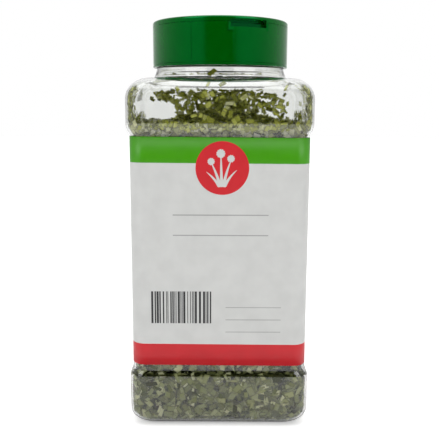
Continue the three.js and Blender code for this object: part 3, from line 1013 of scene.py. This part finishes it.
# %% [markdown]
# ## The cap
# The cap is three mouldings joined by thin webs: a body with a skirt, a deck and a bar across its top, and
# two half-moon flaps. Round forms are spun from a profile. What isn't round, such as the bar, the thumb
# notches and the holes, is joined or cut with a Boolean modifier, which is then applied. The cap is built
# with its first flap towards +X and turned at the end.

# %% Spun and plain forms
CAP_STEPS = 180
FLAP_TURN = math.radians(-65)
print(f"{CAP_STEPS} steps round the cap")


def spin_profile(bm, profile, steps=CAP_STEPS, start=0.0, sweep=math.tau):
    """Spins a closed outline of radii and heights round the axis, all the way or by a part of a turn"""
    begin = Matrix.Rotation(start, 4, "Z")
    verts = [bm.verts.new(begin @ Vector((r * MM, 0, z * MM))) for r, z in profile]
    loop = list(zip(verts, verts[1:] + verts[:1]))
    edges = [bm.edges.new(pair) for pair in loop]
    whole = sweep > 6.28
    if not whole:
        edges = [bm.faces.new(verts)]
    bmesh.ops.spin(bm, geom=edges, axis=(0, 0, 1), angle=sweep, steps=steps, use_merge=whole)
    bmesh.ops.remove_doubles(bm, verts=bm.verts, dist=1e-6)
    bmesh.ops.recalc_face_normals(bm, faces=bm.faces)


def block(bm, x0, x1, y0, y1, z0, z1):
    size = Matrix.Diagonal(((x1 - x0) * MM, (y1 - y0) * MM, (z1 - z0) * MM, 1))
    place = Matrix.Translation(Vector((x0 + x1, y0 + y1, z0 + z1)) * MM / 2)
    bmesh.ops.create_cube(bm, size=1, matrix=place @ size)


def post(bm, radius, x, y, z0, z1, segments=40):
    place = Matrix.Translation(Vector((x, y, (z0 + z1) / 2)) * MM)
    bmesh.ops.create_cone(
        bm,
        cap_ends=True,
        segments=segments,
        radius1=radius * MM,
        radius2=radius * MM,
        depth=(z1 - z0) * MM,
        matrix=place,
    )


# %% [markdown]
# A Boolean works on objects, so both forms become objects for a moment, and the result goes back into a
# bmesh. Each finished moulding gets a bevel of 0.1 mm on its edges, because no moulded edge is sharp.

# %% Joining, cutting and finishing
SOFT_EDGE = 0.1


def combine(bm, other, operation):
    """Joins or cuts one bmesh with another and gives back the result"""
    parts = []
    for source in (bm, other):
        mesh = bpy.data.meshes.new("part")
        source.to_mesh(mesh)
        source.free()
        part = bpy.data.objects.new("part", mesh)
        bpy.context.scene.collection.objects.link(part)
        parts.append(part)
    change = parts[0].modifiers.new("change", "BOOLEAN")
    change.operation = operation
    change.solver = "EXACT"
    change.use_self = operation == "UNION"
    change.object = parts[1]
    graph = bpy.context.evaluated_depsgraph_get()
    result = bmesh.new()
    result.from_object(parts[0], graph)
    for part in parts:
        bpy.data.meshes.remove(part.data)
    for face in result.faces:
        face.material_index = 0
    bmesh.ops.remove_doubles(result, verts=result.verts, dist=1e-6)
    return result


def finish_moulding(name, bm, body, node_name):
    """Turns a moulding to its place, softens its edges and lets it stand for its solid"""
    bmesh.ops.rotate(bm, verts=bm.verts, matrix=Matrix.Rotation(FLAP_TURN, 3, "Z"))
    obj = piece(name, bm, body, "green_plastic", green_plastic, crease=30)
    soft = obj.modifiers.new("soft_edges", "BEVEL")
    soft.limit_method = "ANGLE"
    soft.angle_limit = math.radians(40)
    soft.width = SOFT_EDGE * MM
    soft.segments = 2
    evened = obj.modifiers.new("evened_shading", "WEIGHTED_NORMAL")
    evened.keep_sharp = True
    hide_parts(node_name)


# %% [markdown]
# The cap's heights come from its solid in the frame. The flaps stand 0.14 mm clear of the skirt and the
# bar, so that only a fine dark line shows between them. The thumb notch is a pocket that is cut into the
# skirt's top and the flap's underside.

# %% Sizes of the cap
CAP_R = 33.43
CAP_BOTTOM = cap_low.z
CAP_TOP = cap_high.z
BORE = 31.85
DECK_BOTTOM, DECK_TOP = 186.3, 187.8
SKIRT_TOP = 191.1
WELL_R = 31.9
PART_GAP = 0.14
BAR_HALF = 2.85
CROWN_ROUND = 1.1
NOTCH_ENDS = (-9.9, 8.35)
NOTCH_BACK = 29.6
NOTCH_WALL = 1.1
NOTCH_FLOOR, NOTCH_TOP = 188.8, 192.2
MOULD_TURN = math.radians(-113.2)
MOULD_DEPTH, MOULD_HALF = 0.22, 0.2
SIFT_ROWS = ((9, (-16, -8, 0, 8, 16)), (18, (-12, -4, 4, 12)))
HOLE_R, PEG_R = 2.5, 2.7
SPOON_R, SPOON_EDGE = 26, 5.5
print(f"cap {2 * CAP_R:.2f} mm across and {CAP_TOP - CAP_BOTTOM:.2f} mm high")

# %% [markdown]
# Three shapes are used more than once or need a name: the crown that both flaps and the bar are cut from,
# the notch, and the hairline that the two halves of the mould leave down the skirt.

# %% Crown, notch and mould line
def cap_crown(bottom):
    """The profile of the cap's rounded top, down to a height"""
    rounded = [
        (CAP_R - CROWN_ROUND + CROWN_ROUND * math.cos(a), CAP_TOP - CROWN_ROUND + CROWN_ROUND * math.sin(a))
        for a in (math.pi / 2 * i / 8 for i in range(9))
    ]
    return [(0, bottom), (CAP_R, bottom), *rounded, (0, CAP_TOP)]


def mould_line():
    """The hairline down the skirt where the mould's halves met"""
    bm = bmesh.new()
    low, high = CAP_BOTTOM + 1.7, SKIRT_TOP - 0.3
    block(bm, CAP_R - MOULD_DEPTH, CAP_R + 1, -MOULD_HALF, MOULD_HALF, low, high)
    turn = Matrix.Rotation(MOULD_TURN - FLAP_TURN, 3, "Z")
    bmesh.ops.rotate(bm, verts=bm.verts, matrix=turn)
    return bm


def notch(side, back=NOTCH_BACK):
    """The pocket for a thumb, from a distance behind the skirt outwards"""
    bm = bmesh.new()
    ends = sorted((side * back, side * (CAP_R + 2)))
    block(bm, *ends, *NOTCH_ENDS, NOTCH_FLOOR, NOTCH_TOP)
    return bm


print(f"notch {NOTCH_ENDS[1] - NOTCH_ENDS[0]:.2f} mm long and {NOTCH_TOP - NOTCH_FLOOR:.1f} mm high")

# %% [markdown]
# The skirt and the deck are spun as one profile, with a fine groove near the bottom. The bar takes its top
# from the crown. A short wall behind each notch closes the pocket, and then the holes are cut: nine small
# round ones to sift through, and half a disc for a spoon.

# %% The cap's body
def cap_body():
    body = bmesh.new()
    spin_profile(
        body,
        [
            (0, DECK_BOTTOM),
            (BORE, DECK_BOTTOM),
            (BORE, CAP_BOTTOM),
            (CAP_R - 0.25, CAP_BOTTOM),
            (CAP_R, CAP_BOTTOM + 0.25),
            (CAP_R, CAP_BOTTOM + 1.0),
            (CAP_R - 0.2, CAP_BOTTOM + 1.15),
            (CAP_R - 0.2, CAP_BOTTOM + 1.35),
            (CAP_R, CAP_BOTTOM + 1.5),
            (CAP_R, SKIRT_TOP),
            (WELL_R, SKIRT_TOP),
            (WELL_R, DECK_TOP),
            (0, DECK_TOP),
        ],
    )
    bar = bmesh.new()
    block(bar, -BAR_HALF, BAR_HALF, -40, 40, DECK_TOP - 0.5, CAP_TOP + 1)
    crown = bmesh.new()
    spin_profile(crown, cap_crown(DECK_BOTTOM + 0.5))
    body = combine(body, combine(bar, crown, "INTERSECT"), "UNION")
    for side in (1, -1):
        wall = bmesh.new()
        ends = sorted((side * (NOTCH_BACK - NOTCH_WALL), side * (CAP_R - 1)))
        across = NOTCH_ENDS[0] - NOTCH_WALL, NOTCH_ENDS[1] + NOTCH_WALL
        block(wall, *ends, *across, DECK_TOP - 0.5, SKIRT_TOP - 0.35)
        body = combine(body, wall, "UNION")
        body = combine(body, notch(side), "DIFFERENCE")
    holes = bmesh.new()
    for out, places in SIFT_ROWS:
        for across in places:
            post(holes, HOLE_R, out, across, DECK_BOTTOM - 1, DECK_TOP + 1)
    body = combine(body, holes, "DIFFERENCE")
    body = combine(body, mould_line(), "DIFFERENCE")
    half_moon = bmesh.new()
    post(half_moon, SPOON_R, 0, 0, DECK_BOTTOM - 1, DECK_TOP + 1, 96)
    half = bmesh.new()
    block(half, -40, -SPOON_EDGE, -40, 40, DECK_BOTTOM - 2, DECK_TOP + 2)
    return combine(body, combine(half_moon, half, "INTERSECT"), "DIFFERENCE")


finish_moulding("cap_shell", cap_body(), "cap", "cap_body")

# %% [markdown]
# Lugs inside the skirt catch the neck's ridges. They are small, so they are a piece of their own, spun from
# one section in short turns.

# %% Lugs
LUG_SECTION = ((30.4, 175.7), (31.8, 175.3), (31.8, 176.9), (30.4, 176.5))
LUG_STEPS = 6
LUG_TURN = math.radians(22)
cap_lugs = bmesh.new()
for start in RIDGE_STARTS:
    spin_profile(cap_lugs, LUG_SECTION, LUG_STEPS, start - FLAP_TURN, LUG_TURN)
bmesh.ops.rotate(cap_lugs, verts=cap_lugs.verts, matrix=Matrix.Rotation(FLAP_TURN, 3, "Z"))
piece("cap_lugs", cap_lugs, "cap", "green_plastic", green_plastic)

# %% [markdown]
# Each flap is half of the crown, kept clear of the bar by the parting gap. A ring under it reaches down into
# the well, and the flap over the sifting holes has a peg above each of them.

# %% The flaps
PLUG_INNER, PLUG_OUTER, PLUG_LOW = 27.3, 28.2, 188.6


def flap(side):
    """One half-moon flap, on the side of the sifting holes (1) or of the spoon's opening (-1)"""
    bottom = SKIRT_TOP + PART_GAP
    inner = BAR_HALF + PART_GAP
    disc_form = bmesh.new()
    spin_profile(disc_form, cap_crown(bottom))
    half_space = bmesh.new()
    block(half_space, *sorted((side * inner, side * 60)), -50, 50, bottom - 1, CAP_TOP + 2)
    lid = combine(disc_form, half_space, "INTERSECT")
    ring = bmesh.new()
    top = bottom + 0.5
    section = ((PLUG_INNER, PLUG_LOW), (PLUG_OUTER, PLUG_LOW), (PLUG_OUTER, top), (PLUG_INNER, top))
    spin_profile(ring, section, 120)
    kept = bmesh.new()
    block(kept, *sorted((side * (inner + 1.5), side * 60)), -50, 50, 188, bottom + 0.4)
    lid = combine(lid, combine(ring, kept, "INTERSECT"), "UNION")
    if side > 0:
        pegs = bmesh.new()
        for out, places in SIFT_ROWS:
            for across in places:
                post(pegs, PEG_R, out, across, DECK_TOP + PART_GAP, bottom + 0.4, 24)
        lid = combine(lid, pegs, "UNION")
    return combine(lid, notch(side, NOTCH_BACK - 1.4), "DIFFERENCE")


finish_moulding("sift_lid", flap(1), "sift_flap", "sift_flap")
finish_moulding("spoon_lid", flap(-1), "spoon_flap", "spoon_flap")

# %% [markdown]
# A thin web of the same plastic joins each flap to the bar, and bends as the flap opens. It crosses a
# joint, so it is blended: points on the bar's side stay with the cap, points on the flap's side follow it,
# and those between turn smoothly.

# %% Hinge webs
WEB_INNER, WEB_OUTER = 2.6, 3.3
WEB_HALF_LENGTH = 27.0
WEB_LOW, WEB_HIGH = CAP_TOP - 0.55, CAP_TOP - 0.12
BEND_FIRST, BEND_LAST = 2.85, 3.15
for side, body in ((1, "sift_flap"), (-1, "spoon_flap")):
    web = bmesh.new()
    across = sorted((side * WEB_INNER, side * WEB_OUTER))
    block(web, *across, -WEB_HALF_LENGTH, WEB_HALF_LENGTH, WEB_LOW, WEB_HIGH)
    long_edges = [e for e in web.edges if abs((e.verts[0].co - e.verts[1].co).x) > 0.5 * MM]
    bmesh.ops.subdivide_edges(web, edges=long_edges, cuts=8, use_grid_fill=True)
    turn = Matrix.Rotation(FLAP_TURN, 4, "Z")
    bmesh.ops.transform(web, matrix=turn, verts=web.verts)
    strip = piece(f"{body}_web", web, None, None, green_plastic)
    start = turn @ Vector((side * BEND_FIRST, 0, CAP_TOP)) * MM
    end = turn @ Vector((side * BEND_LAST, 0, CAP_TOP)) * MM
    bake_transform(strip, "cap", body, start=start, end=end)

# %% [markdown]
# ## The set, the light and the camera
# The jar stands on a plain pale floor in a bright room. The floor glows a little to the camera alone, so
# that it looks white there and yet throws no extra light on the jar.

# %% Floor
FLOOR_GLOW = 0.45
FLOOR_R = 3.0
FLOOR_DROP = 0.05
floor_paint, shader = new_material("floor_paint", Roughness=0.8, Emission_Color=(1, 1, 1, 1))
clouds = object_noise(floor_paint, 8)
vary_colour(floor_paint, shader, clouds.outputs[0], [(0.3, (0.82,) * 3), (0.7, (0.86,) * 3)])
glow = node(floor_paint, "ShaderNodeMath", operation="MULTIPLY")
glow.inputs[1].default_value = FLOOR_GLOW
link(floor_paint, node(floor_paint, "ShaderNodeLightPath").outputs["Is Camera Ray"], glow.inputs[0])
link(floor_paint, glow.outputs[0], shader.inputs["Emission Strength"])
ground = bmesh.new()
lowered = Matrix.Translation((0, 0, -FLOOR_DROP * MM))
bmesh.ops.create_circle(ground, cap_ends=True, segments=64, radius=FLOOR_R, matrix=lowered)
floor = piece("floor", ground, None, None, floor_paint)
floor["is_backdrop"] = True

# %% [markdown]
# The room is the world itself, so nothing stands in it that could be seen. Its light is worked out from the
# direction that a ray takes, with a few Math nodes.

# %% World and its node helpers
world = bpy.data.worlds.new("bright_room")
bpy.context.scene.world = world
world.use_nodes = True
room = world.node_tree
background = room.nodes["Background"]
background.inputs["Color"].default_value = (1, 1, 1, 1)


def room_node(kind, **settings):
    made = room.nodes.new(kind)
    for key, value in settings.items():
        setattr(made, key, value)
    return made


def room_math(operation, first, second):
    made = room_node("ShaderNodeMath", operation=operation)
    for socket, value in zip(made.inputs, (first, second)):
        if isinstance(value, (int, float)):
            socket.default_value = value
        else:
            room.links.new(value, socket)
    return made.outputs[0]


print("world:", world.name)

# %% [markdown]
# A white wall stands behind the jar, greyer ones beside it, and a dark end in front, where the camera is,
# which puts the dark stripe down the middle of the glossy cap. A ramp gives the walls their light by how
# far round the jar they are, from 0 in front to 1 behind. A bright ceiling draws the line along the
# shoulder. The camera itself sees plain white.

# %% Walls and ceiling
direction = room_node("ShaderNodeTexCoord")
split = room_node("ShaderNodeSeparateXYZ")
room.links.new(direction.outputs["Generated"], split.inputs["Vector"])
towards_front = room_math("MULTIPLY", split.outputs["Y"], -1)
round_the_jar = room_math("ABSOLUTE", room_math("ARCTAN2", split.outputs["X"], towards_front), 0)
share_of_turn = room_math("DIVIDE", round_the_jar, math.pi)
walls = room_node("ShaderNodeValToRGB")
CEILING = (0.78, 0.9, 0.0, 2.2)
WALL_LIGHT = (
    (0.0, 0.0),
    (0.13, 0.0),
    (0.16, 0.48),
    (0.42, 0.5),
    (0.6, 0.55),
    (0.84, 0.65),
    (0.9, 0.97),
    (1.0, 0.97),
)
while len(walls.color_ramp.elements) < len(WALL_LIGHT):
    walls.color_ramp.elements.new(0.5)
for element, (place, light) in zip(walls.color_ramp.elements, WALL_LIGHT):
    element.position = place
    element.color = (light, light, light, 1)
room.links.new(share_of_turn, walls.inputs["Fac"])
ceiling = room_node("ShaderNodeMapRange", interpolation_type="SMOOTHSTEP")
set_range(ceiling, *CEILING)
room.links.new(split.outputs["Z"], ceiling.inputs["Value"])
seen = room_node("ShaderNodeLightPath")
room_light = room_math("MAXIMUM", walls.outputs["Color"], ceiling.outputs["Result"])
room.links.new(room_math("MAXIMUM", room_light, seen.outputs["Is Camera Ray"]), background.inputs["Strength"])
print(f"{len(WALL_LIGHT)} steps of light round the room")

# %% [markdown]
# Two large soft lights, one on each side in front and above, light the label and the chives evenly.

# %% Lights
LIGHT_SPOT = (0.62, -0.55, 0.72)
LIGHT_AIM = Vector((0, 0, 0.1))
LIGHT_SIZE = 0.6
LIGHT_WATTS = 2.8
for name, side in (("left_light", -1), ("right_light", 1)):
    lamp_data = bpy.data.lights.new(name, "AREA")
    lamp_data.shape = "RECTANGLE"
    lamp_data.size = lamp_data.size_y = LIGHT_SIZE
    lamp_data.energy = LIGHT_WATTS
    lamp = bpy.data.objects.new(name, lamp_data)
    lamp.location = (side * LIGHT_SPOT[0], *LIGHT_SPOT[1:])
    lamp.rotation_euler = (LIGHT_AIM - lamp.location).to_track_quat("-Z", "Y").to_euler()
    bpy.context.scene.collection.objects.link(lamp)
    print(f"{name}: {LIGHT_WATTS} W")

# %% [markdown]
# The camera stands close, 344 mm in front of the jar's axis and level with its shoulder, and looks down by
# just under ten degrees. Those values come from the bow of the label's bands and from how the widths shrink
# towards the base. The focal length follows from the picture's height in pixels. Light may bounce 16 times,
# because it passes through four or more walls of plastic on its way.

# %% Camera
PICTURE_HEIGHT = 440
FOCAL_PIXELS = 667.35
SENSOR = 36.0
CAMERA_SPOT = (0, -0.34374, 0.15385)
LOOKING_DOWN = 9.78
ROLLED = 0.23
BOUNCES = 16
camera_data = bpy.data.cameras.new("camera")
camera_data.sensor_width = SENSOR
camera_data.lens = FOCAL_PIXELS / PICTURE_HEIGHT * SENSOR
camera_data.clip_start = 0.01
camera = bpy.data.objects.new("camera", camera_data)
pitch = Matrix.Rotation(math.radians(90 - LOOKING_DOWN), 4, "X")
roll = Matrix.Rotation(math.radians(ROLLED), 4, "Z")
camera.matrix_world = Matrix.Translation(CAMERA_SPOT) @ pitch @ roll
bpy.context.scene.collection.objects.link(camera)
bpy.context.scene.camera = camera
bpy.context.scene.view_settings.view_transform = "Standard"
bpy.context.scene.cycles.max_bounces = BOUNCES
bpy.context.scene.cycles.transmission_bounces = BOUNCES
bpy.context.scene.cycles.transparent_max_bounces = BOUNCES
print(f"camera with a {camera_data.lens:.1f} mm lens")

# %% [markdown]
# ## Size of the model
# The finished model must fill the same box as the frame, so both boxes are given side by side.

# %% Finish
boxes = {"cad": cad_box, "visual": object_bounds()}
{name: [list(corner) for corner in box] for name, box in boxes.items()}
